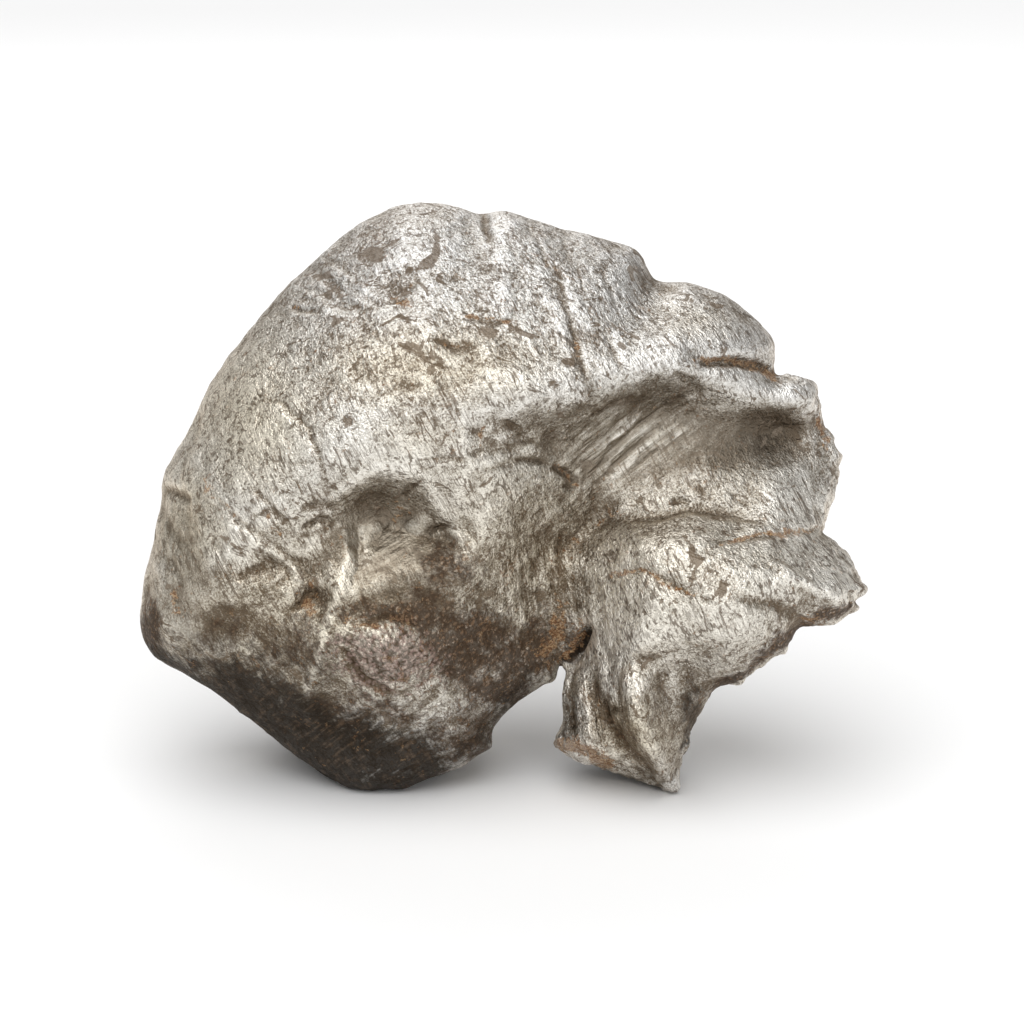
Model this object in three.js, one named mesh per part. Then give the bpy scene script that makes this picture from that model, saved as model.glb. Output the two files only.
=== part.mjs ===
// Iron meteorite fragment: one solid piece of torn nickel-iron, thick and domed on one side,
// with a swept trough, a rolled brow, a flared wing and a spur that stands beside the main foot.
//
// The face is laid out in the picture plane, as an eye sees it from viewDistance:
// x to the right, z up from the foot, depth away from the eye. The stone is then set down on its foot.
import * as THREE from "three";
import { mergeVertices } from "three/addons/utils/BufferGeometryUtils.js";

// Driving dimensions, in millimetres and degrees
const viewDistance = 316;
const viewElevation = 15;
const eyeLine = [1.2, 30.9];
const faceCells = 46;
const rimCells = 2;
const rimHalfThickness = 0.5;
const seatCut = 0.4;
const frontThickness = 14;
const frontRounding = 21;
const backThickness = 11.5;
const backRounding = 13;
const roundness = 2.4;

// The spot in the trough from which the whole rim can be seen, and how far the rings crowd to the rim
const faceMiddle = [13, 33];
const rimCrowding = 0.6;

// The rim, clockwise from the crown, [x, z]
const rimPoints = [
  [-13.2, 64.4], [-11.3, 65.1], [-6.1, 65.1], [-2.2, 63.8], [0.1, 64.3], [4.8, 62.9], [10.9, 61.3],
  [14.7, 59.6], [16.1, 58], [17.1, 56.4], [20.9, 56.2], [24.9, 54.7], [28.5, 51.7], [30.2, 48.9],
  [30.4, 46.6], [32.8, 45.8], [34.8, 44.3], [35.4, 42.8], [35.6, 40.9], [37.3, 38], [37.2, 34],
  [35.7, 29.2], [38.3, 26.3], [40.1, 22.3], [38.9, 19.9], [33.4, 17.6], [30.9, 15.2], [26.5, 12.4],
  [23.6, 11.4], [22.3, 8.7], [20.9, 4.7], [20, 2.2], [19.2, 0.1], [15.9, 1.1], [10.9, 2.6],
  [7.2, 4.2], [6.7, 5.3], [6.9, 7.6], [6.9, 11.1], [7.2, 13.4], [6.8, 14.5], [4.8, 12], [1.2, 9.4],
  [-0.7, 7.2], [-2.2, 4.9], [-3.7, 3.1], [-7.9, 1.4], [-11.1, 0.1], [-16.8, 0.2], [-20.2, 2.1],
  [-26.5, 7], [-32.8, 11.6], [-39.1, 15.4], [-40.1, 18.3], [-39.8, 22.4], [-38.4, 28.9],
  [-37.6, 34.4], [-34.6, 40], [-32.1, 45.4], [-28.4, 50.4], [-22.8, 56.9], [-17.7, 61.3],
];

// Broad swells and dents: centre, half-widths, turn in degrees, and how far the skin moves out
const frontDents = [
  { name: "dome", at: [-14.6, 41], half: [22, 17], turn: 0, out: 6 },
  { name: "wing", at: [24.3, 21], half: [14, 8], turn: 0, out: 1 },
  { name: "thumbprint", at: [-12.6, 29.8], half: [6.6, 4.6], turn: 8, out: -7 },
  { name: "thumbprint side", at: [-6.8, 27.8], half: [2.9, 2.4], turn: 0, out: -2.5 },
  { name: "brow pocket", at: [17.6, 42.8], half: [7, 3], turn: 12, out: -2.6 },
  { name: "trough head", at: [3.4, 39.6], half: [5, 3.2], turn: 0, out: -2.6 },
  { name: "under the nub", at: [31.5, 39.8], half: [3.8, 2.6], turn: 0, out: -5.5 },
  { name: "foot swell", at: [-14.6, 14.4], half: [6.7, 5], turn: 0, out: 2.5 },
  { name: "undercut", at: [-18, 5], half: [20, 8], turn: -12, out: -5 },
  { name: "left dimple", at: [-31.8, 18.9], half: [4, 2.3], turn: -15, out: -2.5 },
  { name: "left nick", at: [-25.9, 24.2], half: [3.4, 2.2], turn: -10, out: -1.3 },
  { name: "wing scoop", at: [19.3, 12.8], half: [3.9, 3.3], turn: 0, out: -4 },
  { name: "wing corner", at: [32.6, 19.8], half: [3.9, 2.4], turn: 15, out: -2.6 },
  { name: "spur flute", at: [11.8, 8.3], half: [2.4, 4.4], turn: 15, out: -3 },
];
const backDents = [
  { name: "back dome", at: [-12, 38], half: [22, 20], turn: 0, out: 4 },
  { name: "heel", at: [-13, 8], half: [15, 9], turn: 0, out: 12 },
  { name: "wing back", at: [24, 18], half: [18, 14], turn: 0, out: -6 },
  { name: "crown print", at: [-12, 53], half: [8, 5.5], turn: 20, out: -4 },
  { name: "left print", at: [-26, 37], half: [5.5, 7], turn: 10, out: -4.5 },
  { name: "middle print", at: [-7, 35], half: [7, 6], turn: -15, out: -5 },
  { name: "right print", at: [12, 44], half: [8, 6], turn: 30, out: -4 },
  { name: "low print", at: [-25, 18], half: [6, 4.5], turn: -25, out: -4 },
  { name: "wing print", at: [25, 30], half: [7, 5], turn: 0, out: -2.5 },
  { name: "fork print", at: [5, 20], half: [5, 6], turn: 0, out: -3 },
];
// How the middle of the thickness swings to and from the eye
const sway = [
  { name: "wing flare", at: [32, 16.7], half: [14, 9], turn: 0, out: 6 },
  { name: "right edge", at: [37, 36.7], half: [8, 9], turn: 0, out: -3 },
];

// Ridges and furrows along a line, with a width on each side of it: left and right looking along the line
const frontLines = [
  {
    name: "trough", out: -8, left: 6.9, right: 7.4,
    path: [[42, 35.6], [28.7, 37.2], [19.8, 37.2], [11.4, 34.4], [7.4, 27.8], [6, 18]],
  },
  {
    name: "brow", out: 2.6, left: 4.5, right: 2.8,
    path: [[2.1, 42.8], [9.8, 43.9], [16.5, 46.9], [22.1, 46.4], [28.7, 44.7], [33.7, 43.6]],
  },
  { name: "crevice", out: -2, left: 1.6, right: 1.6, path: [[22.6, 47.6], [26.5, 47.6], [31.4, 46.4]] },
  { name: "ledge", out: -2.5, left: 3, right: 2, path: [[8.2, 28.3], [13.2, 30], [20.9, 31.1], [26.5, 30.2]] },
  { name: "left crease", out: -2, left: 2.2, right: 2.2, path: [[-24.6, 27.2], [-21.8, 24.4], [-19.9, 21.1]] },
  { name: "knee", out: 1.4, left: 2.2, right: 2.2, path: [[-18.6, 22], [-20.4, 15], [-22.6, 9.5]] },
  { name: "spur ridge", out: 2, left: 2.2, right: 2.2, path: [[15.4, 11.1], [16.5, 5.6], [18.9, 0.8]] },
];

const rim = new THREE.CatmullRomCurve3(
  rimPoints.map(([x, z]) => new THREE.Vector3(x, 0, z)),
  true,
  "centripetal",
);
rim.arcLengthDivisions = 1000;
const rimSteps = rim.getSpacedPoints(600);
const lineCurves = new Map(
  frontLines.map((line) => [
    line.name,
    new THREE.CatmullRomCurve3(line.path.map(([x, z]) => new THREE.Vector3(x, 0, z))).getPoints(40),
  ]),
);

const wrap = (t) => ((t % 1) + 1) % 1;

// How far round the square a grid point is, 0 to 1, the same for every ring of the grid
function turnOfSquare(x, z) {
  const size = Math.max(Math.abs(x), Math.abs(z)) || 1;
  const across = x / size;
  const up = z / size;
  if (across >= 1) return wrap(0.25 - up / 8);
  if (up <= -1) return wrap(0.5 - across / 8);
  if (across <= -1) return wrap(0.75 + up / 8);
  return wrap(across / 8);
}

function dentAt(dent, x, z) {
  const turn = THREE.MathUtils.degToRad(dent.turn);
  const dx = x - dent.at[0];
  const dz = z - dent.at[1];
  const along = (dx * Math.cos(turn) + dz * Math.sin(turn)) / dent.half[0];
  const across = (dz * Math.cos(turn) - dx * Math.sin(turn)) / dent.half[1];
  return dent.out * Math.exp(-(along * along + across * across));
}

function lineAt(line, x, z) {
  const points = lineCurves.get(line.name);
  let best = Infinity;
  let side = 0;
  for (let i = 1; i < points.length; i++) {
    const a = points[i - 1];
    const run = points[i].clone().sub(a);
    const share = THREE.MathUtils.clamp(((x - a.x) * run.x + (z - a.z) * run.z) / run.lengthSq(), 0, 1);
    const dx = x - a.x - share * run.x;
    const dz = z - a.z - share * run.z;
    const distance = Math.hypot(dx, dz);
    if (distance < best) {
      best = distance;
      side = (run.x * dz - run.z * dx) / (run.length() * distance || 1);
    }
  }
  const width = THREE.MathUtils.mapLinear(side, -1, 1, line.right, line.left);
  return line.out * Math.exp(-((best / width) ** 2));
}

const total = (features, measure, x, z) => features.reduce((sum, feature) => sum + measure(feature, x, z), 0);

// Rounding of the skin toward the rim: 0 at the rim, 1 once the place is a full width inside it
function roundOff(place, width) {
  const inset = Math.min(...rimSteps.map((step) => step.distanceTo(place)));
  const share = Math.max(0, 1 - inset / width);
  return Math.sqrt(1 - share ** roundness);
}

// Depth of the skin from the picture plane, away from the eye
function skinDepth(place, isFront) {
  const { x, z } = place;
  const middle = -total(sway, dentAt, x, z);
  if (isFront) {
    const swell = frontThickness + total(frontDents, dentAt, x, z) + total(frontLines, lineAt, x, z);
    return middle - rimHalfThickness - swell * roundOff(place, frontRounding);
  }
  const swell = backThickness + total(backDents, dentAt, x, z);
  return middle + rimHalfThickness + swell * roundOff(place, backRounding);
}

// Each cell is cut in two along whichever line leaves the larger small half, so no cell folds over
function cutCells(cells, places) {
  const area = (i, j, k) => {
    const first = places[j].clone().sub(places[i]);
    const second = places[k].clone().sub(places[i]);
    return first.x * second.z - first.z * second.x;
  };
  for (let i = 0; i < cells.count; i += 6) {
    const [a, b, c, d] = [cells.getX(i), cells.getX(i + 1), cells.getX(i + 4), cells.getX(i + 5)];
    const facing = Math.sign(area(a, b, d) + area(b, c, d));
    const presentCut = Math.min(facing * area(a, b, d), facing * area(b, c, d));
    const otherCut = Math.min(facing * area(a, b, c), facing * area(a, c, d));
    if (otherCut < presentCut + 1e-6) continue;
    cells.setX(i + 2, c);
    cells.setX(i + 3, a);
  }
}

function shapeStone() {
  const grid = new THREE.BoxGeometry(2, 2, 2, faceCells, rimCells, faceCells);
  grid.deleteAttribute("normal");
  grid.deleteAttribute("uv");
  const stone = mergeVertices(grid);
  const position = stone.getAttribute("position");
  const settle = new THREE.Matrix4().makeRotationX(THREE.MathUtils.degToRad(-viewElevation));
  const middle = new THREE.Vector3(faceMiddle[0], 0, faceMiddle[1]);
  const point = new THREE.Vector3();
  const places = [];
  for (let i = 0; i < position.count; i++) {
    point.fromBufferAttribute(position, i);
    const square = Math.min(1, Math.max(Math.abs(point.x), Math.abs(point.z)));
    const ring = THREE.MathUtils.lerp(square, Math.sin((square * Math.PI) / 2), rimCrowding);
    const place = middle.clone().lerp(rim.getPointAt(turnOfSquare(point.x, point.z)), ring);
    places.push(place);
    const front = skinDepth(place, true);
    const back = skinDepth(place, false);
    const depth = THREE.MathUtils.lerp(front, back, (point.y + 1) / 2);
    const nearness = 1 + depth / viewDistance;
    point.set(
      eyeLine[0] + (place.x - eyeLine[0]) * nearness,
      depth,
      eyeLine[1] + (place.z - eyeLine[1]) * nearness,
    );
    point.applyMatrix4(settle);
    position.setXYZ(i, point.x, point.y, Math.max(point.z, seatCut));
  }
  cutCells(stone.index, places);
  stone.computeBoundingBox();
  const { min, max } = stone.boundingBox;
  stone.translate(-(min.x + max.x) / 2, -(min.y + max.y) / 2, -min.z);
  stone.computeVertexNormals();
  return stone;
}

const iron = new THREE.MeshStandardMaterial({ color: 0xa39c8f, roughness: 0.5, metalness: 0.85 });
const meteorite = new THREE.Mesh(shapeStone(), iron);
meteorite.name = "meteorite";

const part = new THREE.Group();
part.add(meteorite);
export default part;
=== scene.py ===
import math

import bmesh
import bpy
import numpy as np
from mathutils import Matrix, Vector, noise


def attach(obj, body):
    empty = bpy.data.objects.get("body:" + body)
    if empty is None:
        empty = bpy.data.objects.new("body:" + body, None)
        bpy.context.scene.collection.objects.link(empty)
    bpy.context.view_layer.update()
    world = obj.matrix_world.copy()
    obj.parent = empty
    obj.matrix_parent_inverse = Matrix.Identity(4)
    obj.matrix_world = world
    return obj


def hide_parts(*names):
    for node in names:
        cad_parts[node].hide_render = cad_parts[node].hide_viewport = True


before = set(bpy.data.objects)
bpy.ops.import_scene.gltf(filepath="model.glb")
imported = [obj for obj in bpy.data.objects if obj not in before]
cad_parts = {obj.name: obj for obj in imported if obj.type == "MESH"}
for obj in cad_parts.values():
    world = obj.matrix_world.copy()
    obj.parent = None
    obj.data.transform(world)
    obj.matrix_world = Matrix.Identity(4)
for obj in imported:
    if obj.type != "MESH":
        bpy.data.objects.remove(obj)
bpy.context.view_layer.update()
scene = bpy.context.scene


# the camera, which the marks on the face are laid out for
eye = {
    "lens": 100.0,
    "sensor": 36.0,
    "picture": 1024,
    "elevation": 15.0,
    "distance": 0.316,
    "aim": (0.00144, 0.0003, 0.02945),
    "nearest": 0.01,
}
millimetres = 1000.0  # in a metre
seedStep = (17.3, 5.7, 11.1)  # moves the noise to a new place for each seed
tilt = math.radians(eye["elevation"])
eyeAhead = Vector((0, math.cos(tilt), -math.sin(tilt)))
eyeUp = Vector((0, math.sin(tilt), math.cos(tilt)))
eyePlace = Vector(eye["aim"]) - eyeAhead * eye["distance"]
pixelsPerUnit = eye["picture"] * eye["lens"] / eye["sensor"]

camera = bpy.data.objects.new("camera", bpy.data.cameras.new("camera"))
scene.collection.objects.link(camera)
camera.data.lens = eye["lens"]
camera.data.sensor_width = eye["sensor"]
camera.data.clip_start = eye["nearest"]
camera.location = eyePlace
camera.rotation_euler = eyeAhead.to_track_quat("-Z", "Y").to_euler()
scene.camera = camera


def picturePlace(points):
    # where each point falls in the picture, in pixels from the top left, and how far off it is
    away = points - np.array(eyePlace)
    depth = away @ np.array(eyeAhead)
    across = eye["picture"] / 2 + pixelsPerUnit * away[:, 0] / depth
    down = eye["picture"] / 2 - pixelsPerUnit * (away @ np.array(eyeUp)) / depth
    return np.stack([across, down], axis=1), depth


def smoothStep(low, high, value):
    share = np.clip((value - low) / (high - low), 0, 1)
    return share * share * (3 - 2 * share)


def stroke(spots, path, width, pointed=True):
    # 1 on the path and nothing about two widths away, thinning to a point at both ends
    nearest = np.full(len(spots), np.inf)
    reached = np.zeros(len(spots))
    passed = 0.0
    for start, end in zip(path[:-1], path[1:]):
        start, run = np.array(start, float), np.array(end, float) - np.array(start, float)
        length = math.hypot(*run)
        share = np.clip(((spots - start) @ run) / length**2, 0, 1)
        distance = np.linalg.norm(spots - start - share[:, None] * run, axis=1)
        closer = distance < nearest
        nearest[closer] = distance[closer]
        reached[closer] = passed + share[closer] * length
        passed += length
    if not pointed:
        return np.exp(-((nearest / width) ** 2))
    along = reached / passed
    taper = np.sqrt(np.clip(4 * along * (1 - along), 0, 1))
    return taper * np.exp(-((nearest / (width * (0.4 + 0.6 * taper))) ** 2))


def blob(spots, at, half, turn=0):
    # a soft oval, turned clockwise in the picture
    c, s = math.cos(math.radians(turn)), math.sin(math.radians(turn))
    off = spots - np.array(at, float)
    along = (off[:, 0] * c + off[:, 1] * s) / half[0]
    across = (off[:, 1] * c - off[:, 0] * s) / half[1]
    return np.exp(-(along**2 + across**2))


def lumps(points, size, seed, octaves=1):
    # smooth noise about size across, roughly -1 to 1
    shift = Vector([seed * step for step in seedStep])
    if octaves == 1:
        return np.array([noise.noise(Vector(p) / size + shift) for p in points])
    return np.array([noise.fractal(Vector(p) / size + shift, 1.0, 2.0, octaves) for p in points])


def furrowed(spots, direction, across, seed, stretch=7):
    # noise drawn out into furrows that run in one direction of the picture
    c, s = math.cos(math.radians(direction)), math.sin(math.radians(direction))
    along = (spots[:, 0] * c + spots[:, 1] * s) / stretch
    aside = spots[:, 1] * c - spots[:, 0] * s
    return lumps(np.stack([along, aside, np.zeros(len(spots))], axis=1), across, seed, 2)


# the stone: pixels are places in the picture, heights are millimetres out of the skin
stone = {
    "voxel": 0.00049,
    "smoothings": 8,
    # faces are halved where a stroke, drawn this much wider, is still this strong
    "detailReach": 1.7,
    "detailEdge": 0.37,
    # strokes and dents wander: size of the wander, and pixels
    "wander": (0.0016, 1.8),
    "seeds": {"wander": (3, 4), "torn": 8, "furrows": 20, "lumps": 30, "grains": 40},
    # the back's own marks come in as the skin turns this far to the back
    "behind": (0.1, 0.5),
    # ridges are positive and furrows negative: path, half width, height
    "strokes": [
        # rim of the thumb hollow, and the knee that runs down from it
        ([(318, 506), (345, 488), (378, 470), (410, 473), (432, 492), (450, 520), (470, 552)], 9, 0.3),
        ([(326, 505), (340, 530), (347, 560), (334, 600), (326, 630), (314, 670), (304, 694)], 6, 0.3),
        ([(402, 496), (409, 487), (416, 480)], 3, -0.3),
        ([(430, 531), (441, 526), (454, 523)], 3, -0.4),
        ([(352, 520), (358, 545), (358, 567), (348, 594)], 3.5, -0.3),
        # lens shaped gouges and creases left of the hollow
        ([(302, 529), (315, 524), (333, 517)], 4, -0.75),
        ([(300, 511), (316, 505), (338, 507)], 5, -0.5),
        ([(216, 498), (238, 522), (262, 537), (285, 548), (310, 578)], 4.5, -0.34),
        ([(262, 545), (284, 557), (304, 575)], 4, 0.35),
        ([(252, 486), (268, 504), (284, 520), (294, 534)], 3.5, -0.35),
        ([(238, 578), (256, 571), (277, 562)], 6, -0.45),
        ([(252, 519), (268, 510), (282, 523)], 3, -0.3),
        ([(160, 486), (175, 493), (190, 502)], 5, -0.5),
        ([(206, 505), (216, 508), (226, 516)], 3, -0.25),
        ([(310, 436), (319, 455), (324, 472), (324, 490)], 3.5, -0.3),
        ([(262, 398), (281, 402), (297, 417), (314, 434)], 3, -0.25),
        ([(286, 466), (305, 462), (322, 459)], 2.5, -0.15),
        ([(262, 590), (280, 576), (302, 566)], 4, 0.3),
        ([(290, 612), (304, 600), (316, 588)], 5, -0.5),
        # dome
        ([(290, 309), (305, 310), (320, 311)], 3, -0.3),
        ([(300, 283), (340, 294), (376, 306)], 3, 0.08),
        ([(308, 270), (345, 285), (378, 302)], 3, -0.08),
        ([(320, 262), (350, 280), (380, 300)], 3, 0.08),
        ([(297, 299), (335, 304), (372, 310)], 3, -0.08),
        ([(506, 236), (516, 258), (528, 282)], 3, -0.16),
        ([(528, 226), (542, 252), (556, 284)], 3, -0.18),
        ([(560, 232), (572, 262), (588, 300)], 3, -0.16),
        ([(600, 262), (612, 292), (620, 318)], 3, -0.16),
        ([(604, 330), (614, 350), (622, 374)], 3, -0.18),
        ([(420, 352), (440, 366), (464, 372)], 3, -0.14),
        ([(380, 396), (400, 388), (426, 386)], 3, -0.12),
        ([(484, 208), (486, 225), (489, 244)], 3.5, -0.4),
        ([(548, 240), (556, 268), (568, 310), (577, 345), (588, 390)], 3.5, -0.25),
        ([(466, 316), (480, 320), (495, 323), (512, 318)], 3, -0.3),
        ([(434, 340), (450, 346), (465, 351)], 3, -0.2),
        ([(438, 220), (437, 245), (435, 270)], 6, -0.12),
        ([(424, 459), (445, 460), (470, 461)], 3, -0.25),
        ([(466, 452), (476, 455), (486, 448)], 3, -0.3),
        ([(470, 428), (478, 434), (487, 430)], 3, -0.25),
        ([(482, 474), (500, 467), (516, 463)], 3.5, -0.3),
        # brow: small folds where the dome breaks into the trough
        ([(494, 428), (508, 424), (520, 428)], 4, -0.4),
        ([(506, 440), (520, 436), (534, 440)], 4, -0.35),
        ([(515, 456), (530, 460), (548, 463)], 3, -0.3),
        ([(590, 416), (610, 408), (636, 396)], 4, -0.4),
        ([(560, 424), (575, 414), (590, 404)], 5, -0.3),
        # trough: flow lines, and the gouge that stops them
        ([(580, 482), (617, 446), (647, 420), (684, 392)], 3, -0.2),
        ([(569, 466), (605, 434), (638, 407), (664, 388)], 2.5, -0.16),
        ([(559, 457), (588, 427), (617, 402)], 2.5, -0.14),
        ([(601, 478), (628, 452), (657, 430), (694, 410)], 3, -0.16),
        ([(592, 486), (622, 458), (654, 434)], 2.5, -0.12),
        ([(574, 474), (611, 440), (643, 413)], 2.5, 0.14),
        ([(618, 480), (650, 455), (700, 432)], 3, -0.12),
        ([(553, 466), (566, 473), (578, 483)], 4.5, -0.7),
        ([(560, 484), (570, 486), (578, 488)], 3, -0.4),
        ([(668, 502), (678, 499), (692, 500)], 3.5, -0.5),
        ([(724, 487), (736, 496), (748, 506)], 2.5, -0.2),
        ([(672, 374), (690, 383), (706, 400)], 6, -0.4),
        # ledge and wing
        ([(586, 534), (604, 523), (622, 518), (655, 516), (690, 507), (735, 513), (765, 524)], 6, -0.55),
        ([(640, 528), (680, 518), (730, 523), (780, 534)], 8, 0.3),
        ([(716, 541), (750, 537), (790, 533), (824, 528)], 3, -0.35),
        ([(606, 579), (628, 571), (645, 570), (668, 582), (693, 599)], 4, -0.35),
        ([(700, 364), (720, 361), (740, 362), (760, 366), (778, 374)], 5, -1.0),
        ([(770, 560), (800, 580), (830, 596), (850, 600)], 6, 0.3),
        ([(740, 600), (775, 606), (806, 622)], 6, -0.4),
        # throat and spur
        ([(590, 624), (582, 640), (571, 662)], 5, -1.6),
        ([(566, 655), (563, 700), (566, 738)], 4, 0.3),
        ([(573, 660), (570, 700), (574, 738)], 3.5, -0.3),
        ([(588, 668), (592, 700), (606, 732), (630, 758), (655, 780)], 9, -1.2),
        ([(600, 690), (604, 708), (616, 712)], 5, -0.4),
        ([(628, 668), (634, 700), (646, 735), (664, 770)], 9, 0.6),
        ([(660, 672), (672, 700), (676, 740)], 8, -0.5),
        ([(630, 655), (646, 662), (662, 656)], 6, -0.4),
        # foot
        ([(366, 624), (385, 617), (400, 619), (416, 627)], 5, -0.5),
        ([(345, 650), (361, 677), (391, 691), (415, 697)], 4, -0.65),
        ([(352, 660), (372, 680), (404, 690)], 4, 0.25),
        ([(292, 695), (310, 712), (322, 740)], 8, 0.4),
    ],
    # hollows and bosses: place, half sizes, turn, height
    "dents": [
        ((286, 546), (20, 9), 20, 0.25),
        ((310, 592), (8, 11), 0, -0.35),
        ((237, 488), (15, 24), 20, 0.3),
        ((660, 543), (5, 4), 0, -0.35),
        ((372, 500), (34, 12), -12, -0.3),
        ((405, 540), (60, 36), 15, 1.3),
        ((420, 600), (80, 22), 0, -0.7),
        ((345, 596), (16, 14), 0, 0.4),
        ((212, 545), (16, 40), -25, 0.3),
        ((180, 520), (14, 24), 0, -0.3),
        ((518, 440), (22, 12), 20, 0.5),
        ((560, 540), (18, 50), 12, 0.3),
        ((400, 285), (18, 14), 0, -0.25),
        ((378, 250), (26, 16), -50, -0.2),
        ((340, 300), (30, 12), 35, -0.3),
        ((520, 285), (20, 10), 60, -0.15),
        ((650, 640), (40, 22), 10, 0.4),
        ((790, 440), (24, 14), 0, 0.8),
        ((722, 446), (30, 34), -20, -0.5),
        ((796, 396), (20, 14), 20, 0.5),
        ((780, 480), (26, 26), 0, 0.4),
        ((770, 500), (26, 16), 0, 0.3),
        ((810, 560), (24, 14), 30, -0.3),
        ((564, 522), (22, 22), 0, 0.8),
        ((282, 548), (22, 14), 25, 0.6),
        ((300, 580), (12, 12), 0, 0.3),
    ],
    # rough places: place, half sizes, turn, height of the grains
    "rough": [
        ((490, 640), (70, 46), 0, 0.24),
        ((388, 662), (56, 34), 10, 0.24),
        ((300, 625), (40, 40), 0, 0.16),
        ((450, 725), (50, 40), 0, 0.16),
        ((260, 720), (110, 40), 30, 0.14),
        ((400, 590), (70, 20), 0, 0.12),
        ((625, 715), (60, 50), 0, 0.14),
        ((760, 585), (100, 36), 20, 0.12),
        ((250, 590), (60, 30), 10, 0.12),
    ],
    "grains": [0.0016, 0.0009],
    # furrows drawn by flow or brushing: place, half sizes, turn, direction, furrow width, height
    "furrows": [
        ((625, 445), (80, 36), -30, -42, 5, 0.2),
        ((395, 545), (60, 40), 0, -32, 6, 0.04),
        ((545, 590), (45, 70), 0, 80, 8, 0.3),
        ((600, 700), (42, 60), 0, 74, 9, 0.28),
        ((395, 720), (60, 28), 0, -38, 8, 0.4),
        ((570, 275), (70, 60), 0, 63, 7, 0.15),
        ((200, 570), (50, 70), 0, 66, 7, 0.22),
        ((335, 290), (60, 40), 35, 35, 8, 0.12),
        ((700, 590), (100, 50), 0, 28, 8, 0.22),
        ((510, 445), (40, 26), 0, 0, 7, 0.25),
        ((700, 320), (60, 30), 0, 55, 7, 0.15),
        ((470, 640), (70, 60), 0, 30, 9, 0.25),
    ],
    # torn rim: place, pull across and down in pixels, reach in pixels
    "pulls": [
        ((160, 495), (4, 0), 18),
        ((632, 252), (3, -3), 18),
        ((685, 283), (0, -2), 25),
        ((770, 338), (3, -2), 16),
        ((778, 371), (-3, 3), 7),
        ((810, 385), (4, -4), 14),
        ((830, 436), (4, 0), 7),
        ((838, 456), (5, 0), 6),
        ((825, 512), (3, 0), 14),
        ((826, 533), (-4, 0), 6),
        ((858, 591), (7, -2), 6),
        ((860, 602), (-7, 0), 4),
        ((858, 608), (6, 3), 5),
        ((834, 622), (2, 3), 10),
        ((800, 630), (-3, -5), 12),
        ((784, 650), (2, 4), 5),
        ((738, 681), (2, 4), 6),
        ((697, 725), (-4, -1), 22),
        ((683, 765), (-3, 0), 14),
        ((676, 786), (3, 4), 8),
        ((556, 742), (-11, 3), 11),
        ((580, 762), (0, 2), 14),
        ((552, 675), (4, 6), 9),
        ((486, 747), (10, 3), 10),
    ],
    # the torn edge is ragged: path, half width, size of the teeth, height
    "torn": {
        "path": [
            *[(776, 372), (816, 392), (834, 442), (838, 470), (826, 520), (850, 562), (862, 590), (838, 622)],
            *[(785, 645), (735, 682), (706, 703), (690, 740), (676, 785), (645, 780), (560, 750), (558, 734)],
        ],
        "width": 12,
        "teeth": 0.0011,
        "height": 0.35,
    },
    # thumbprint hollows on the back: place across and up in millimetres, half sizes, turn, depth
    "thumbprints": [
        ((-23, 41), (8, 6), 30, 1.3),
        ((-4, 48), (9, 6), -15, 1.2),
        ((13, 37), (8, 6), -30, 1.2),
        ((-10, 30), (8, 6), 10, 1.1),
        ((-29, 24), (6, 7), 0, 1.0),
        ((4, 21), (7, 5), 40, 0.9),
        ((25, 29), (7, 5), -20, 0.9),
        ((-17, 14), (7, 5), 0, 0.8),
        ((30, 40), (5, 4), 0, 0.6),
    ],
    # cracks and ridges on the back: path in millimetres, half width, height
    "backStrokes": [
        ([(-34, 34), (-22, 32), (-12, 38), (2, 40)], 1.3, 0.5),
        ([(2, 40), (8, 29), (16, 26), (30, 34)], 1.3, 0.45),
        ([(-20, 52), (-14, 46), (-13, 40)], 0.9, -0.5),
        ([(6, 54), (10, 47), (20, 43)], 0.9, -0.5),
        ([(-26, 18), (-18, 22), (-6, 20)], 0.9, -0.5),
        ([(14, 20), (20, 16), (21, 9)], 0.9, -0.5),
    ],
    # lumps and pits all round: size, height
    "lumps": [(0.0075, 0.25), (0.0034, 0.16), (0.0018, 0.11), (0.0010, 0.06)],
}


def stoneMesh():
    # the CAD solid, merged, remade with even small faces, and eased so that no facet shows
    shape = bmesh.new()
    shape.from_mesh(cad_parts["meteorite"].data)
    bmesh.ops.remove_doubles(shape, verts=shape.verts, dist=1e-6)
    rough = bpy.data.meshes.new("stoneRough")
    shape.to_mesh(rough)
    shape.free()
    holder = bpy.data.objects.new("stoneRough", rough)
    scene.collection.objects.link(holder)
    remesh = holder.modifiers.new("even faces", "REMESH")
    remesh.mode = "VOXEL"
    remesh.voxel_size = stone["voxel"]
    bpy.context.view_layer.update()
    ready = holder.evaluated_get(bpy.context.evaluated_depsgraph_get())
    mesh = bpy.data.meshes.new_from_object(ready)
    bpy.data.objects.remove(holder)
    bpy.data.meshes.remove(rough)
    mesh.name = "meteoriteSkin"
    shape = bmesh.new()
    shape.from_mesh(mesh)
    for step in range(stone["smoothings"]):
        for factor in (0.5, -0.5):
            bmesh.ops.smooth_vert(
                shape, verts=shape.verts, factor=factor, use_axis_x=True, use_axis_y=True, use_axis_z=True
            )
    # halve the faces along the strokes, which are finer than the rest
    shape.verts.ensure_lookup_table()
    spots = picturePlace(np.array([vert.co for vert in shape.verts]))[0]
    near = np.zeros(len(spots))
    for path, width, out in stone["strokes"]:
        near = np.maximum(near, stroke(spots, path, width * stone["detailReach"], False))
    ahead = np.array([vert.normal.dot(eyeAhead) < 0 for vert in shape.verts])
    fine = (near > stone["detailEdge"]) & ahead
    edges = [edge for edge in shape.edges if fine[edge.verts[0].index] and fine[edge.verts[1].index]]
    bmesh.ops.subdivide_edges(shape, edges=edges, cuts=1, use_grid_fill=True)
    for face in shape.faces:
        face.smooth = True
    shape.to_mesh(mesh)
    shape.free()
    return mesh


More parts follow.
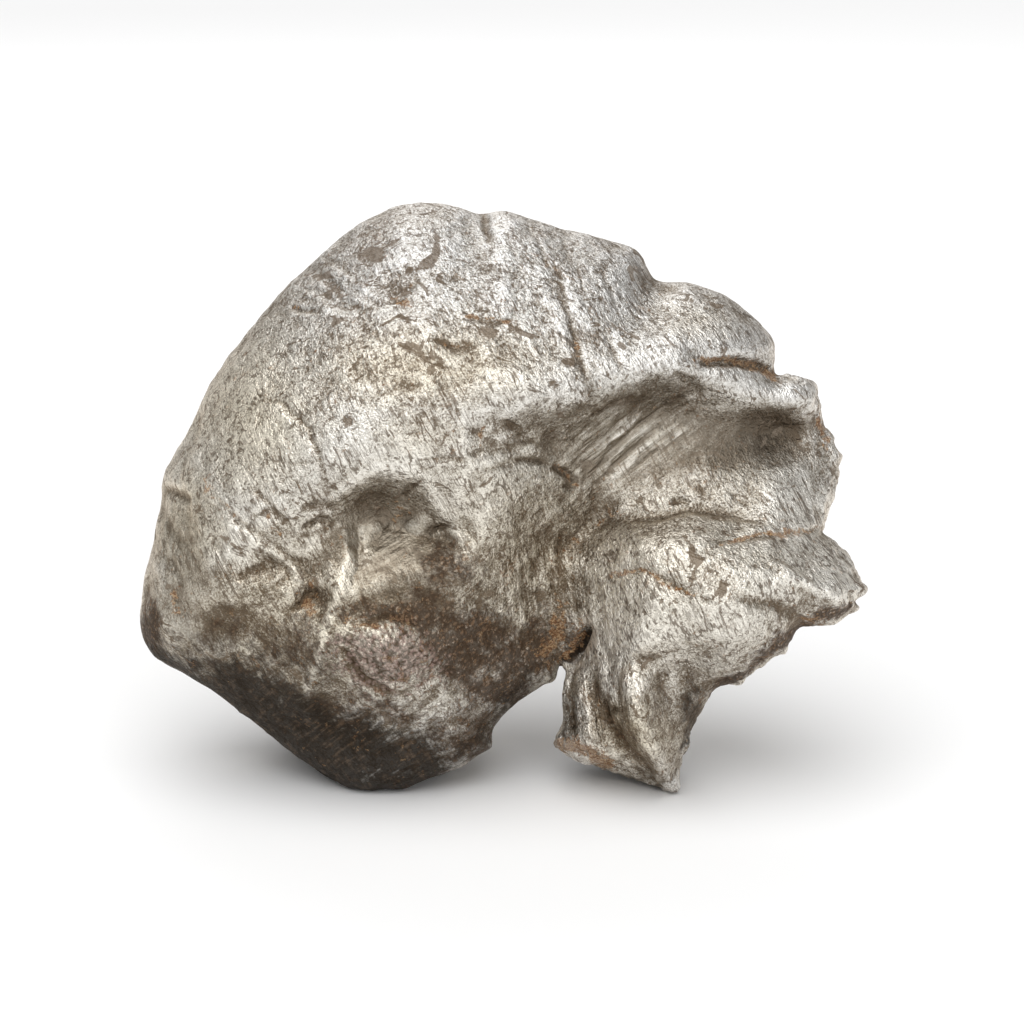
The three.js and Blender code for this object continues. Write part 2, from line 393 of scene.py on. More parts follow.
def meshPoints(mesh):
    points = np.zeros(len(mesh.vertices) * 3, np.float32)
    mesh.vertices.foreach_get("co", points)
    normals = np.zeros(len(mesh.vertices) * 3, np.float32)
    mesh.vertex_normals.foreach_get("vector", normals)
    return points.reshape(-1, 3).astype(float), normals.reshape(-1, 3).astype(float)


def setPoints(mesh, points):
    mesh.vertices.foreach_set("co", points.astype(np.float32).ravel())
    mesh.update()


def facing(points, normals, away=0.02, toward=0.3):
    # 1 where the skin faces the eye, 0 past where it has turned away
    toEye = np.array(eyePlace) - points
    toEye /= np.linalg.norm(toEye, axis=1)[:, None]
    return smoothStep(away, toward, (normals * toEye).sum(axis=1))


def sculpt(mesh):
    seeds = stone["seeds"]
    # pull the torn rim about in the picture plane
    points = meshPoints(mesh)[0]
    spots, depth = picturePlace(points)
    for at, (across, down), reach in stone["pulls"]:
        share = blob(spots, at, (reach, reach)) * depth / pixelsPerUnit
        points[:, 0] += share * across
        points -= (share * down)[:, None] * np.array(eyeUp)
    setPoints(mesh, points)
    # strokes and dents wander a little, as cracks do
    points, normals = meshPoints(mesh)
    spots = picturePlace(points)[0]
    size, reach = stone["wander"]
    spots = spots + np.stack([lumps(points, size, seed) for seed in seeds["wander"]], axis=1) * reach
    height = np.zeros(len(points))
    for path, width, out in stone["strokes"]:
        height += out * stroke(spots, path, width)
    for at, half, turn, out in stone["dents"]:
        height += out * blob(spots, at, half, turn)
    for seed, (at, half, turn, direction, across, out) in enumerate(stone["furrows"], seeds["furrows"]):
        height += out * blob(spots, at, half, turn) * furrowed(spots, direction, across, seed)
    grains = sum(lumps(points, size, seed) for seed, size in enumerate(stone["grains"], seeds["grains"]))
    for at, half, turn, out in stone["rough"]:
        height += out * blob(spots, at, half, turn) * grains
    height *= facing(points, normals)
    behind = smoothStep(*stone["behind"], normals[:, 1])
    backSpots = points[:, [0, 2]] * millimetres
    for at, half, turn, sunk in stone["thumbprints"]:
        height -= sunk * blob(backSpots, at, half, turn) * behind
    for path, width, out in stone["backStrokes"]:
        height += out * stroke(backSpots, path, width) * behind
    torn = stone["torn"]
    edge = torn["height"] * stroke(spots, torn["path"], torn["width"], False)
    height += edge * lumps(points, torn["teeth"], seeds["torn"])
    for seed, (size, out) in enumerate(stone["lumps"], seeds["lumps"]):
        height += out * lumps(points, size, seed)
    points += normals * (height / millimetres)[:, None]
    points[:, 2] = np.maximum(points[:, 2], 0)
    setPoints(mesh, points)


mesh = stoneMesh()
print("stone triangles", sum(len(face.vertices) - 2 for face in mesh.polygons))
sculpt(mesh)
print("stone sculpted")


# where each finish shows: place, half sizes, turn, strength, in the picture
finish = {
    # how far the skin is rubbed to bright metal, above or below the common wear; part of it is painted light
    # and shade: painted shadow under the brow, in the trough's valley, under the nub and on hollow walls, and
    # painted light on faces that catch the light
    "wear": [
        ((412, 286), (20, 42), -20, -0.12),
        ((440, 250), (90, 40), 0, 0.05),
        ((560, 290), (70, 60), 0, 0.05),
        ((490, 365), (40, 24), 0, -0.06),
        ((600, 374), (80, 14), -12, -0.08),
        ((236, 540), (30, 24), 0, 0.22),
        ((400, 462), (40, 12), 0, 0.16),
        ((445, 500), (26, 10), 50, 0.16),
        ((770, 388), (50, 12), 8, 0.14),
        ((700, 590), (60, 30), 0, -0.06),
        ((650, 630), (60, 26), 0, 0.1),
        ((350, 572), (16, 18), 0, 0.06),
        ((398, 566), (50, 40), 0, -0.27),
        ((324, 630), (7, 34), 12, 0.1),
        ((470, 440), (60, 40), 0, 0.05),
        ((378, 250), (24, 14), -50, -0.1),
        ((420, 575), (50, 24), -20, -0.1),
        # painted shade under the brow, in the trough's valley and under the nub
        ((600, 412), (90, 14), -12, -0.16),
        ((725, 440), (36, 30), 0, -0.12),
        ((780, 426), (36, 22), 0, -0.42),
        ((380, 508), (44, 20), -8, -0.06),
        ((420, 560), (40, 30), 0, -0.12),
        ((560, 500), (26, 60), 10, -0.12),
        ((180, 560), (36, 70), 0, -0.08),
        ((190, 640), (60, 30), 20, -0.2),
        ((640, 725), (46, 44), 0, -0.08),
        ((690, 705), (14, 40), 8, -0.3),
        # painted light in the valley between the lobe and the dome
        ((645, 295), (34, 26), 0, 0.16),
        ((500, 225), (60, 14), 8, 0.06),
        ((812, 562), (36, 22), 30, 0.34),
        ((800, 500), (30, 26), 0, 0.26),
        ((578, 660), (12, 30), 0, 0.14),
        ((576, 728), (14, 22), 0, -0.2),
        ((606, 655), (28, 24), 0, 0.36),
        ((610, 600), (26, 60), 0, 0.4),
        ((650, 460), (90, 36), -10, -0.09),
        ((784, 525), (40, 14), 10, 0.18),
        ((230, 600), (70, 40), 0, -0.1),
        ((690, 660), (20, 22), 0, 0.3),
        ((470, 252), (26, 26), 0, 0.08),
        ((634, 320), (24, 18), 0, 0.12),
        ((540, 362), (30, 16), 0, 0.08),
        ((385, 395), (50, 40), 0, -0.07),
        ((444, 450), (40, 30), 0, -0.05),
        ((834, 480), (12, 44), 0, -0.12),
        ((694, 430), (22, 30), 0, -0.1),
        ((744, 640), (44, 20), -25, -0.15),
        ((152, 635), (16, 30), 0, -0.2),
        ((255, 592), (64, 24), 10, -0.16),
        ((670, 690), (14, 30), 0, 0.12),
        ((236, 420), (60, 74), 0, 0.27),
        ((430, 590), (60, 22), -10, -0.12),
        ((544, 575), (26, 22), 0, -0.12),
        # painted shade on the hollow's left wall and under the nub
        ((334, 538), (10, 22), -10, -0.3),
        ((784, 414), (30, 12), 0, -0.15),
        ((310, 690), (26, 18), 0, -0.2),
        ((390, 735), (40, 18), -20, -0.16),
        ((468, 742), (28, 24), 0, -0.22),
        ((360, 650), (24, 22), 0, 0.16),
        ((510, 612), (30, 14), 0, 0.22),
    ],
    "tan": [
        ((520, 570), (420, 190), 0, 0.7),
        ((430, 560), (400, 90), 0, 0.75),
        ((330, 620), (260, 120), 0, 0.9),
        ((250, 420), (90, 110), 0, 0.9),
        ((190, 530), (50, 100), 0, 0.9),
        ((420, 370), (150, 50), 0, 0.8),
        ((420, 440), (80, 50), 0, 0.6),
        ((630, 730), (60, 50), 0, 0.9),
        ((390, 560), (60, 40), 0, 0.7),
        ((560, 560), (50, 80), 0, 0.8),
        ((650, 450), (120, 60), 0, 0.5),
        ((720, 590), (140, 50), 0, 0.45),
        ((700, 320), (60, 30), 0, 0.4),
    ],
    "oxide": [
        ((474, 640), (44, 36), 0, 1.0),
        ((535, 655), (34, 34), 0, 0.9),
        ((430, 615), (50, 22), 0, 0.7),
        ((505, 690), (34, 22), 0, 0.9),
        ((515, 660), (40, 28), 0, 0.95),
        ((380, 706), (56, 18), 20, 0.65),
        ((400, 606), (80, 18), 0, 0.3),
        ((445, 735), (40, 26), 0, 0.6),
        ((300, 640), (50, 40), 0, 0.55),
        ((230, 630), (50, 24), 20, 0.4),
        ((560, 530), (20, 50), 12, 0.25),
        ((340, 715), (60, 20), 20, 0.6),
        ((285, 660), (40, 34), 20, 0.5),
        ((210, 655), (60, 22), 25, 0.45),
        ((430, 650), (120, 60), 5, 0.45),
        ((300, 590), (16, 18), 0, 0.55),
        ((380, 505), (40, 18), -10, 0.25),
        ((690, 715), (10, 40), 10, 0.45),
        ((432, 588), (50, 22), -10, 0.55),
        ((472, 726), (36, 36), 0, 0.6),
        ((300, 640), (24, 60), 15, 0.6),
        ((150, 632), (18, 36), 0, 1.0),
        ((552, 640), (34, 40), 0, 0.6),
        ((830, 610), (30, 8), -15, 0.6),
        ((780, 640), (40, 9), -25, 0.6),
        ((725, 682), (26, 8), -25, 0.6),
        ((625, 735), (30, 16), 45, 0.45),
        ((446, 566), (36, 26), 20, 0.85),
        ((655, 715), (20, 36), -10, 0.4),
        ((572, 642), (12, 24), 10, 0.9),
        ((466, 745), (30, 22), -20, 0.85),
    ],
    # scraps of old skin that the brush left
    "skin": [
        ((378, 250), (16, 9), -50, 1.0),
        ((394, 240), (8, 5), 0, 0.8),
        ((437, 245), (6, 26), 0, 1.0),
        ((402, 288), (11, 9), 0, 1.0),
        ((574, 345), (5, 18), 10, 0.8),
        ((595, 322), (5, 10), 0, 0.7),
        ((630, 330), (24, 7), 30, 0.7),
        ((530, 330), (14, 6), 20, 0.7),
        ((484, 335), (10, 5), 20, 0.6),
        ((330, 285), (34, 10), 30, 0.6),
        ((420, 345), (30, 8), 25, 0.7),
        ((440, 372), (36, 6), 15, 0.6),
        ((365, 365), (24, 8), -20, 0.5),
        ((640, 270), (16, 14), 60, 0.5),
        ((700, 300), (40, 6), 10, 0.4),
    ],
    "plum": [((388, 660), (56, 32), 10, 1.0), ((345, 640), (20, 14), 0, 0.6)],
    "satin": [
        ((392, 545), (58, 46), 0, 1.0),
        ((640, 440), (110, 44), -14, 0.9),
        ((745, 445), (50, 40), 0, 0.6),
        ((180, 560), (34, 80), 0, 0.6),
    ],
    # brush marks that lean up to the right, and ones that stand upright
    "lean": [
        ((625, 450), (110, 50), -25, 1.0),
        ((395, 550), (70, 46), 0, 0.35),
        ((395, 720), (70, 34), 0, 0.9),
        ((250, 600), (60, 20), 0, 0.8),
        ((330, 720), (130, 46), 25, 0.95),
    ],
    "upright": [
        ((545, 590), (60, 80), 0, 1.0),
        ((600, 700), (50, 70), 0, 1.0),
        ((180, 560), (40, 80), 0, 0.6),
    ],
}
# the same for finishes that follow a line: path, half width, strength
finishLines = {
    # painted highlights along rims and ridges, and painted shade in gashes, folds and grooves
    "wear": [
        ([(345, 488), (378, 469), (410, 472), (432, 491), (450, 519), (464, 545)], 7, 0.3),
        ([(353, 560), (346, 588), (334, 600), (322, 650), (306, 694)], 5, 0.2),
        ([(360, 530), (362, 562), (352, 590)], 4, 0.2),
        ([(302, 529), (315, 524), (333, 517)], 3, -0.4),
        ([(302, 536), (318, 530), (336, 524)], 3, 0.2),
        ([(402, 496), (409, 487), (416, 480)], 3, -0.4),
        ([(430, 531), (441, 526), (454, 523)], 3, -0.4),
        ([(590, 416), (612, 407), (640, 395)], 3, -0.4),
        ([(494, 428), (508, 424), (522, 428)], 3, -0.35),
        ([(506, 440), (520, 436), (536, 440)], 3, -0.35),
        ([(515, 456), (530, 460), (548, 463)], 3, -0.3),
        ([(500, 434), (516, 431), (530, 433)], 3, 0.25),
        ([(580, 482), (617, 446), (684, 392)], 2.5, -0.25),
        ([(574, 474), (611, 440), (664, 396)], 2.5, 0.2),
        ([(601, 478), (628, 452), (694, 410)], 2.5, -0.22),
        ([(610, 480), (640, 455), (698, 424)], 2.5, 0.18),
        ([(588, 640), (572, 668), (563, 702)], 6, 0.28),
        ([(600, 690), (622, 736), (660, 776)], 9, -0.26),
        ([(434, 340), (450, 346), (465, 351)], 2.5, -0.3),
        ([(562, 290), (572, 330), (588, 390)], 3, -0.2),
        ([(484, 208), (486, 225), (489, 244)], 3, -0.25),
        ([(345, 650), (361, 677), (391, 691)], 4, -0.45),
        ([(366, 624), (385, 617), (412, 625)], 4, -0.4),
    ],
    "oxide": [
        ([(846, 608), (800, 634), (760, 657), (720, 690), (702, 714)], 7, 0.6),
        ([(344, 612), (380, 606), (430, 632), (452, 672), (490, 692)], 14, 0.4),
    ],
    # dark underside, partly sooty skin and partly painted shade where the stone turns under; painted shade in
    # the throat gap
    "soot": [
        ([(150, 672), (200, 694), (260, 726), (310, 760), (360, 792), (420, 786)], 36, 1.0),
        ([(230, 690), (290, 718), (350, 748), (420, 764)], 40, 0.95),
        ([(150, 640), (230, 652), (320, 668)], 36, 0.45),
        ([(530, 672), (495, 725), (440, 770)], 20, 0.6),
        ([(694, 690), (684, 745)], 10, 0.6),
        ([(585, 636), (572, 660)], 7, 0.9),
    ],
    "rust": [
        ([(468, 318), (485, 321), (509, 319)], 3, 0.9),
        ([(398, 303), (412, 304)], 5, 0.8),
        ([(436, 340), (463, 351)], 2.5, 0.5),
        ([(293, 309), (300, 310)], 3, 0.6),
        ([(706, 363), (740, 363), (775, 373)], 5, 0.85),
        ([(822, 418), (824, 446)], 6, 0.8),
        ([(720, 540), (770, 536), (822, 528)], 2.5, 0.8),
        ([(611, 576), (645, 570), (691, 597)], 3, 0.7),
        ([(545, 650), (556, 636), (562, 612)], 12, 0.75),
        ([(564, 662), (573, 642), (581, 624)], 7, 0.7),
        ([(556, 745), (585, 750), (607, 760)], 9, 0.95),
        ([(302, 606), (311, 614)], 8, 0.95),
        ([(306, 582), (314, 600)], 5, 0.6),
        ([(176, 588), (182, 614)], 6, 0.7),
        ([(808, 615), (822, 621)], 7, 0.8),
        ([(478, 426), (478, 448)], 4, 0.7),
        ([(555, 470), (578, 485)], 3.5, 0.6),
        ([(572, 340), (578, 352)], 3.5, 0.6),
        ([(598, 524), (622, 515)], 5, 0.6),
        ([(205, 480), (214, 500)], 6, 0.6),
        ([(224, 508), (232, 520)], 4, 0.6),
        ([(260, 511), (280, 530)], 4, 0.55),
        ([(338, 532), (344, 556)], 5, 0.5),
        ([(355, 545), (352, 572)], 3, 0.5),
        ([(392, 505), (404, 522)], 9, 0.35),
        ([(556, 560), (580, 545)], 6, 0.5),
        ([(350, 618), (372, 628)], 7, 0.6),
    ],
}
# the same finishes in drifts, on the sides that the picture doesn't show
drifts = {
    # size, seed and octaves of the noise, where it starts to show and is full, strength
    "soft": {
        "tan": (0.018, 12, 2, -0.5, 0.5, 1.0),
        "oxide": (0.013, 13, 3, -0.1, 0.8, 0.75),
        "plum": (0.016, 17, 2, 0.1, 0.9, 0.5),
        "satin": (0.012, 14, 2, 0.0, 0.7, 1.0),
        "skin": (0.005, 10, 3, 0.1, 0.7, 0.6),
        "lean": (0.016, 18, 1, -0.1, 0.4, 1.0),
        "upright": (0.016, 19, 1, -0.1, 0.4, 1.0),
        "rust": (0.006, 16, 4, 0.3, 0.8, 0.5),
    },
    "wear": {"noise": (0.013, 11, 3), "strength": 0.18},
    # soot and painted shade, darker towards the bottom: full below the first height and gone above the second
    "soot": {"noise": (0.012, 15, 3), "ragged": 0.014, "heights": (-0.006, 0.018), "strength": 0.9},
}
painting = {
    # the edges of the finishes wander: size and octaves of the noise, pixels, seeds across and down
    "edges": (0.004, 3, 8, (6, 7)),
    # the picture's finishes reach round to where the skin turns this far away
    "turnedAway": -0.5,
    # rounds of easing, and the depth that counts as full, in metres
    "creases": (10, 0.00012),
    "hollows": (60, 0.0006),
}


def neighbourMean(values, pairs, counts):
    total = np.zeros_like(values)
    for axis in range(values.shape[1]):
        total[:, axis] = np.bincount(pairs[:, 0], values[pairs[:, 1], axis], len(values))
        total[:, axis] += np.bincount(pairs[:, 1], values[pairs[:, 0], axis], len(values))
    return total / counts[:, None]


def hollowness(mesh, points, normals, rounds, full):
    # how far the skin lies below its own smoothed shape, 0.5 where it is even
    pairs = np.zeros(len(mesh.edges) * 2, np.int32)
    mesh.edges.foreach_get("vertices", pairs)
    pairs = pairs.reshape(-1, 2)
    counts = np.bincount(pairs.ravel(), minlength=len(points)).astype(float)
    eased = points
    for step in range(rounds):
        eased = neighbourMean(eased, pairs, counts)
    return np.clip(0.5 + 0.5 * ((eased - points) * normals).sum(axis=1) / full, 0, 1)


def paint(mesh):
    points, normals = meshPoints(mesh)
    spots = picturePlace(points)[0]
    size, octaves, reach, seeds = painting["edges"]
    spots = spots + np.stack([lumps(points, size, seed, octaves) for seed in seeds], axis=1) * reach
    front = facing(points, normals, painting["turnedAway"])
    layers = {}
    for name, marks in finish.items():
        shares = [strength * blob(spots, at, half, turn) for at, half, turn, strength in marks]
        layers[name] = np.sum(shares, axis=0) if name == "wear" else np.max(shares, axis=0)
    for name, marks in finishLines.items():
        shares = [strength * stroke(spots, path, width, False) for path, width, strength in marks]
        if name in layers:
            layers[name] = layers[name] + np.sum(shares, axis=0)
        else:
            layers[name] = np.max(shares, axis=0)
    drift = {}
    for name, (size, seed, octaves, low, high, strength) in drifts["soft"].items():
        drift[name] = strength * smoothStep(low, high, lumps(points, size, seed, octaves))
    drift["wear"] = drifts["wear"]["strength"] * lumps(points, *drifts["wear"]["noise"])
    soot = drifts["soot"]
    full, gone = soot["heights"]
    ragged = points[:, 2] + soot["ragged"] * lumps(points, *soot["noise"])
    drift["soot"] = soot["strength"] * smoothStep(gone, full, ragged)
    for name, layer in layers.items():
        layers[name] = layer * front + drift[name] * (1 - front)
    for name in ("creases", "hollows"):
        layers[name] = hollowness(mesh, points, normals, *painting[name])
    for name, layer in layers.items():
        mesh.attributes.new(name, "FLOAT", "POINT").data.foreach_set("value", layer.astype(np.float32))


paint(mesh)
print("finishes painted")


class Strand:
    # one output of a material's nodes, with maths written as it is read
    def __init__(self, tree, out):
        self.tree = tree
        self.out = out

    def node(self, kind, settings=None, sockets=None, out=0):
        made = self.tree.nodes.new(kind)
        for name, value in (settings or {}).items():
            if name == "stops":
                ramp = made.color_ramp
                while len(ramp.elements) < len(value):
                    ramp.elements.new(0.5)
                for element, (place, colour) in zip(ramp.elements, value):
                    element.position = place
                    element.color = (*colour, 1)
            else:
                setattr(made, name, value)
        for name, value in (sockets or {}).items():
            if isinstance(value, Strand):
                self.tree.links.new(value.out, made.inputs[name])
            else:
                made.inputs[name].default_value = value
        return Strand(self.tree, made.outputs[out])

    def maths(self, operation, first, second=0.0):
        return self.node("ShaderNodeMath", {"operation": operation}, {0: first, 1: second})

    def __add__(self, other):
        return self.maths("ADD", self, other)

    __radd__ = __add__

    def __mul__(self, other):
        return self.maths("MULTIPLY", self, other)

    __rmul__ = __mul__

    def __sub__(self, other):
        return self.maths("SUBTRACT", self, other)

    def __rsub__(self, other):
        return self.maths("SUBTRACT", other, self)

    def absolute(self):
        return self.maths("ABSOLUTE", self)

    def ease(self, low, high, start=0.0, end=1.0):
        # from start to end, smoothly, as this goes from low to high
        return self.node(
            "ShaderNodeMapRange",
            {"interpolation_type": "SMOOTHSTEP"},
            {"Value": self, "From Min": low, "From Max": high, "To Min": start, "To Max": end},
        )

    def tint(self, below, above, blend="MIX"):
        # a colour that goes from below to above as this goes from 0 to 1
        below, above = [c if isinstance(c, Strand) else (*c, 1) for c in (below, above)]
        settings = {"data_type": "RGBA", "blend_type": blend}
        return self.node("ShaderNodeMix", settings, {0: self, 6: below, 7: above}, 2)


ironSettings = {
    # from the darkest skin to the brightest rubbed metal
    "wornColours": [
        (0.00, (0.085, 0.066, 0.048)),
        (0.25, (0.225, 0.197, 0.165)),
        (0.50, (0.485, 0.463, 0.430)),
        (0.70, (0.745, 0.735, 0.718)),
        (1.00, (0.955, 0.955, 0.950)),
    ],
    "tan": (1.0, 0.92, 0.76),
    "sheen": (1.0, 0.90, 0.79),
    "satin": (0.300, 0.270, 0.220),
    "pit": (0.120, 0.090, 0.064),
    "skin": (0.215, 0.176, 0.140),
    "brown": (0.048, 0.027, 0.014),
    "umber": (0.165, 0.098, 0.055),
    "plum": (0.400, 0.285, 0.250),
    # colour of the dark underside, partly soot and partly painted shade
    "soot": (0.013, 0.008, 0.004),
    "ash": (0.085, 0.054, 0.032),
    "rust": (0.150, 0.068, 0.030),
    "gold": (0.380, 0.250, 0.135),
    # turn of the brush marks, clockwise in the picture, and their scale along and across
    "brushings": {"steep": (62, 0.16, 2.4), "lean": (-37, 0.16, 2.4), "upright": (84, 0.16, 2.4)},
    "streaks": {"lean": (-37, 0.06, 1.1), "upright": (84, 0.06, 1.1)},
    "scores": [(64, 0.05, 0.9), (24, 0.06, 0.8)],
    "dashes": [(64, 1.0, 3.0), (-20, 1.0, 3.0)],
    # scale of every brush mark along the line of sight, and the noise that is drawn out
    "brushDepth": 0.65,
    "brushNoise": (1.0, 2.0, 0.6),
    # noise: scale to the millimetre, detail, roughness, distortion
    "clouds": {
        "patches": (0.13, 2.0, 0.6),
        "flakes": (0.32, 4.0, 0.6, 1.2),
        "mottle": (0.8, 3.0, 0.62),
        "specks": (1.8, 3.0, 0.66),
        "grit": (5.0, 1.0, 0.6),
    },
    "grainScale": 2.0,
    # wear where nothing is painted, and how far each finish covers the metal
    "commonWear": 0.53,
    "cover": {
        "scraps": 0.88,
        "hairs": 0.5,
        "scored": 0.75,
        "dashed": 0.55,
        "pits": 0.72,
        "satin": 0.4,
        "browned": 0.92,
        "plummed": 0.75,
        "sootedAndShaded": 0.96,
        "rusted": 0.8,
    },
    "roughness": 0.38,
    "metallic": 0.92,
    "specular": 0.25,  # the dark skin and the rust are dull
    "bumpDepth": 0.0003,
}


def ironMaterial():
    material = bpy.data.materials.new("brushed meteoric iron")
    material.use_nodes = True
    tree = material.node_tree
    shader = tree.nodes["Principled BSDF"]
    cover = ironSettings["cover"]
    start = Strand(tree, None)
    place = start.node("ShaderNodeTexCoord", out="Object")
    place = start.node("ShaderNodeVectorMath", {"operation": "SCALE"}, {0: place, "Scale": millimetres})

    def layer(name):
        return start.node("ShaderNodeAttribute", {"attribute_name": name}, out="Fac")

    def cloud(scale, detail, roughness, distortion=0.0, at=None):
        sockets = {"Vector": at or place, "Scale": scale, "Detail": detail, "Roughness": roughness}
        return start.node("ShaderNodeTexNoise", {}, {**sockets, "Distortion": distortion}, "Fac")

    def brushing(turn, along, across):
        # a clockwise turn in the picture is one about the line of sight, which dips by the eye's elevation
        about = (0, math.radians(-turn), 0)
        scales = (along, ironSettings["brushDepth"], across)
        level = start.node("ShaderNodeMapping", {}, {"Vector": place, "Rotation": (tilt, 0, 0)})
        turned = start.node("ShaderNodeMapping", {}, {"Vector": level, "Rotation": about})
        drawn = start.node("ShaderNodeMapping", {}, {"Vector": turned, "Scale": scales})
        return cloud(*ironSettings["brushNoise"], at=drawn)

    wear, tan, oxide, plum, satin = [layer(name) for name in ("wear", "tan", "oxide", "plum", "satin")]
    soot, rust, creases, hollows = [layer(name) for name in ("soot", "rust", "creases", "hollows")]
    lean, upright, skin = [layer(name) for name in ("lean", "upright", "skin")]
    patches, flakes, mottle, specks, grit = [cloud(*each) for each in ironSettings["clouds"].values()]
    brush = ironSettings["brushings"]
    steep = brushing(*brush["steep"])
    lines = steep + (brushing(*brush["lean"]) - steep) * lean
    lines = lines + (brushing(*brush["upright"]) - lines) * upright
    streak = ironSettings["streaks"]
    streaks = (brushing(*streak["lean"]) - 0.5) * lean + (brushing(*streak["upright"]) - 0.5) * upright
    scores = [(brushing(*each) - 0.5).absolute() for each in ironSettings["scores"]]
    scores = [each.ease(0.015, 0.04, 1.0, 0.0) for each in scores]
    scored = scores[0] * flakes.ease(0.48, 0.56) + scores[1] * flakes.ease(0.46, 0.38)
    dashes, crossed = [brushing(*each) for each in ironSettings["dashes"]]
    dashes = dashes + (crossed - dashes) * flakes.ease(0.52, 0.42)

    # bright rubbed metal with painted light and shade, in shares that drift over the stone; every noise
    # swings about 0.5
    even = 1 - satin * 0.75
    lined = (lines - 0.5) * (0.3 + lean * 0.7 + upright * 0.5)
    wornAndPaintedLight = wear + ironSettings["commonWear"] + (patches - 0.5) * 0.4 + lined * 0.7
    wornAndPaintedLight = wornAndPaintedLight + ((mottle - 0.5) * 0.5 + (grit - 0.5) * 1.1) * even
    # painted shade: the metal is darker in creases and hollows
    wornAndPaintedLight = wornAndPaintedLight + streaks * 0.9 - (creases - 0.5) * 0.35 - (hollows - 0.5) * 0.2
    colour = wornAndPaintedLight.node("ShaderNodeValToRGB", {"stops": ironSettings["wornColours"]}, {"Fac": wornAndPaintedLight}, "Color")
    # sharp dark pits and dashes, hairlines where the drawn noise crosses its middle, and scraps of old skin
    share = wear * 0.12 + (mottle - 0.5) * 0.3 + (patches - 0.5) * 0.25
    share = share - (creases - 0.5) * 0.08 + satin * 0.14
    pits = (specks + share).ease(0.38, 0.41, 1.0, 0.0)
    dashed = (dashes + share * 0.8).ease(0.38, 0.42, 1.0, 0.0)
    hairs = (lines - 0.5).absolute().ease(0.02, 0.06, 1.0, 0.0) * mottle.ease(0.44, 0.56)
    scraps = (flakes - skin * 0.24 + wear * 0.1 + (specks - 0.5) * 0.15).ease(0.35, 0.37, 1.0, 0.0)
    colour = (scraps * cover["scraps"]).tint(colour, ironSettings["skin"])
    colour = (hairs * cover["hairs"]).tint(colour, ironSettings["pit"])
    colour = (scored * cover["scored"]).tint(colour, ironSettings["pit"])
    colour = (dashed * cover["dashed"]).tint(colour, ironSettings["pit"])
    colour = (pits * cover["pits"]).tint(colour, ironSettings["pit"])
    colour = tan.tint(colour, ironSettings["tan"], "MULTIPLY")
    colour = (satin * cover["satin"]).tint(colour, ironSettings["satin"])

    # brown oxide and plum scale are grainy, with bare metal glinting on the grains
    stirred = start.node("ShaderNodeVectorMath", {"operation": "ADD"}, {0: place, 1: specks})
    cells = {"Vector": stirred, "Scale": ironSettings["grainScale"]}
    grains = start.node("ShaderNodeTexVoronoi", {}, cells, "Distance")
    glints = grains.ease(0.2, 0.32, 1.0, 0.0) * specks.ease(0.48, 0.56)
    browned = (oxide + (mottle - 0.5) * 1.2 + (specks - 0.5) * 0.7 + (hollows - 0.5) * 0.2).ease(0.2, 0.75)
    browned = browned * (1 - glints * 0.45)
    crustColour = grains.ease(0.5, 0.15).tint(ironSettings["brown"], ironSettings["umber"])
    colour = (browned * cover["browned"]).tint(colour, crustColour)
    plummed = (plum + (specks - 0.5) * 1.6 + (mottle - 0.5) * 0.8).ease(0.25, 0.7) * (1 - glints)
    scaleColour = grains.ease(0.75, 0.2).tint(ironSettings["brown"], ironSettings["plum"])
    colour = (plummed * cover["plummed"]).tint(colour, scaleColour)
    # the dark underside, partly sooty skin and partly painted shade where the stone faces down
    sootedAndShaded = (soot + (flakes - 0.5) * 0.8 + (mottle - 0.5) * 0.4 + (lines - 0.5) * 0.9).ease(0.2, 0.8)
    charred = (lines * 0.6 + mottle * 0.4).ease(0.48, 0.68)
    colour = (sootedAndShaded * cover["sootedAndShaded"]).tint(colour, charred.tint(ironSettings["soot"], ironSettings["ash"]))
    flecks = (flakes * 0.5 + specks * 0.5 + oxide * 0.03 + plum * 0.05).ease(0.6, 0.64) * 0.6
    rusted = (rust + (specks - 0.5) * 2.2 + (mottle - 0.5) * 0.8).ease(0.45, 0.75) + flecks
    stain = grit.ease(0.4, 0.62).tint(ironSettings["rust"], ironSettings["gold"])
    colour = (rusted * cover["rusted"]).tint(colour, stain)

    dull = (browned * 0.7 + sootedAndShaded + rusted * 0.8 + plummed * 0.3 + pits * 0.6 + scraps * 0.5).ease(0.0, 1.0)
    roughness = ironSettings["roughness"] + dull * 0.32 + (grit - 0.5) * 0.3
    metallic = ironSettings["metallic"] - dull * 0.8
    crust = oxide * 0.8 + plum + soot * 0.6
    height = (mottle * 0.7 + specks * 0.8 + grit * 0.35) * even + lined * 0.6 + streaks * 1.2
    height = height - grains * crust * 0.7
    relief = {"Strength": 1.0, "Distance": ironSettings["bumpDepth"], "Height": height}
    bump = start.node("ShaderNodeBump", {}, relief, "Normal")
    ends = {"Base Color": colour, "Roughness": roughness, "Metallic": metallic, "Normal": bump}
    for name, value in ends.items():
        tree.links.new(value.out, shader.inputs[name])
    shader.inputs["Specular IOR Level"].default_value = ironSettings["specular"]
    shader.inputs["Specular Tint"].default_value = (*ironSettings["sheen"], 1)
    return material


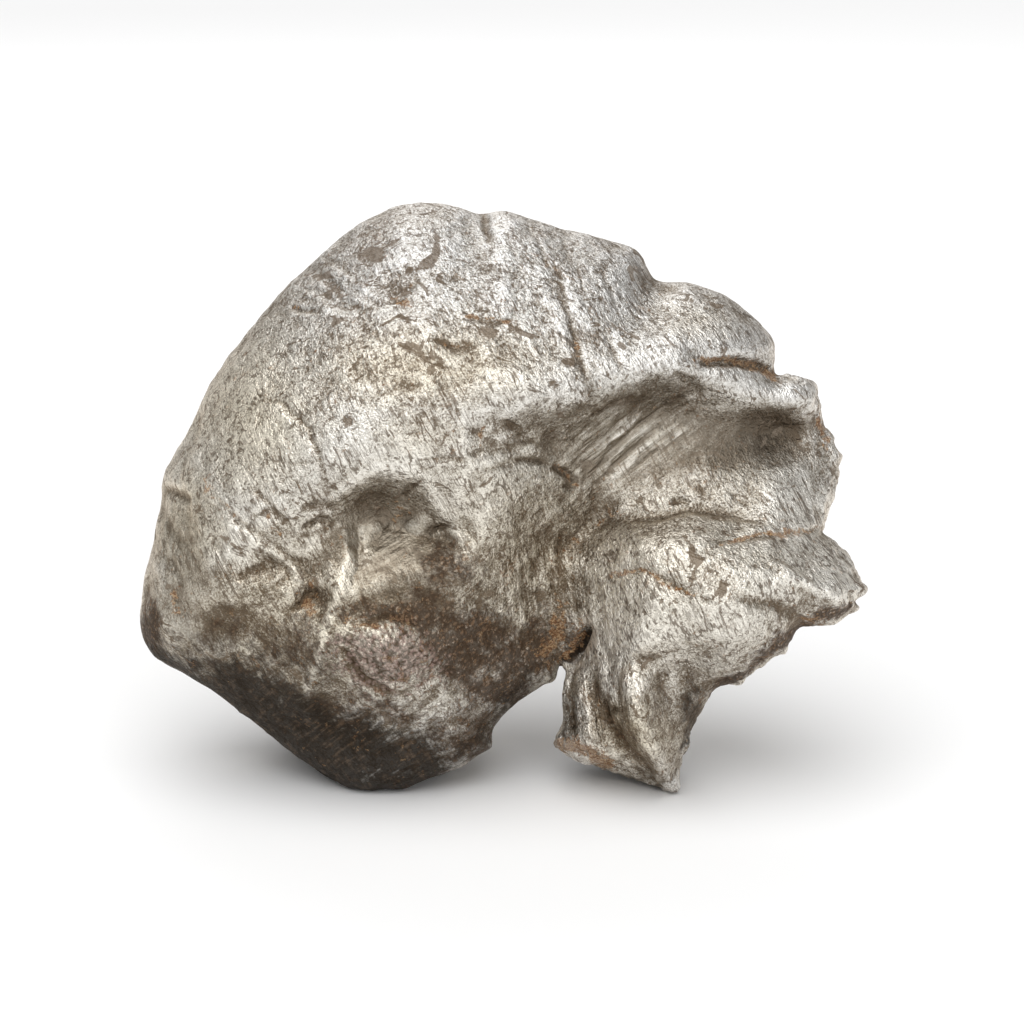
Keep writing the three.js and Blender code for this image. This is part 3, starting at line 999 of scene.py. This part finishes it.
meteorite = bpy.data.objects.new("meteorite_iron", mesh)
scene.collection.objects.link(meteorite)
mesh.materials.append(ironMaterial())
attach(meteorite, "root")
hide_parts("meteorite")
print("iron laid on")


# a pale sweep to stand on, and soft light from above
studio = {
    "sweep": 4.0,
    "paper": {"Base Color": (0.86, 0.86, 0.86, 1), "Roughness": 0.9},
    "sun": {"toward": (0.14, 0.38, -1.0), "spread": 70.0, "strength": 2.5},
    "fill": {"place": (0.3, -0.6, 0.22), "size": 0.3, "watts": 0.9},
    "rim": {"place": (-0.1, 0.55, 0.5), "size": 0.5, "watts": 1.0},
    "sky": 0.38,
}

floorShape = bmesh.new()
bmesh.ops.create_grid(floorShape, x_segments=1, y_segments=1, size=studio["sweep"])
floorMesh = bpy.data.meshes.new("floor")
floorShape.to_mesh(floorMesh)
floorShape.free()
floor = bpy.data.objects.new("floor", floorMesh)
scene.collection.objects.link(floor)
paper = bpy.data.materials.new("paper")
paper.use_nodes = True
for name, value in studio["paper"].items():
    paper.node_tree.nodes["Principled BSDF"].inputs[name].default_value = value
floorMesh.materials.append(paper)

sun = bpy.data.objects.new("sun", bpy.data.lights.new("sun", "SUN"))
scene.collection.objects.link(sun)
sun.data.energy = studio["sun"]["strength"]
sun.data.angle = math.radians(studio["sun"]["spread"])
sun.rotation_euler = Vector(studio["sun"]["toward"]).to_track_quat("-Z", "Y").to_euler()
for name in ("fill", "rim"):
    lamp = bpy.data.objects.new(name, bpy.data.lights.new(name, "AREA"))
    scene.collection.objects.link(lamp)
    lamp.data.size = studio[name]["size"]
    lamp.data.energy = studio[name]["watts"]
    lamp.location = studio[name]["place"]
    lamp.rotation_euler = (Vector(eye["aim"]) - lamp.location).to_track_quat("-Z", "Y").to_euler()
sky = bpy.data.worlds.new("sky")
scene.world = sky
sky.use_nodes = True
sky.node_tree.nodes["Background"].inputs["Color"].default_value = (1, 1, 1, 1)
sky.node_tree.nodes["Background"].inputs["Strength"].default_value = studio["sky"]
scene.view_settings.view_transform = "Standard"
print("studio set")
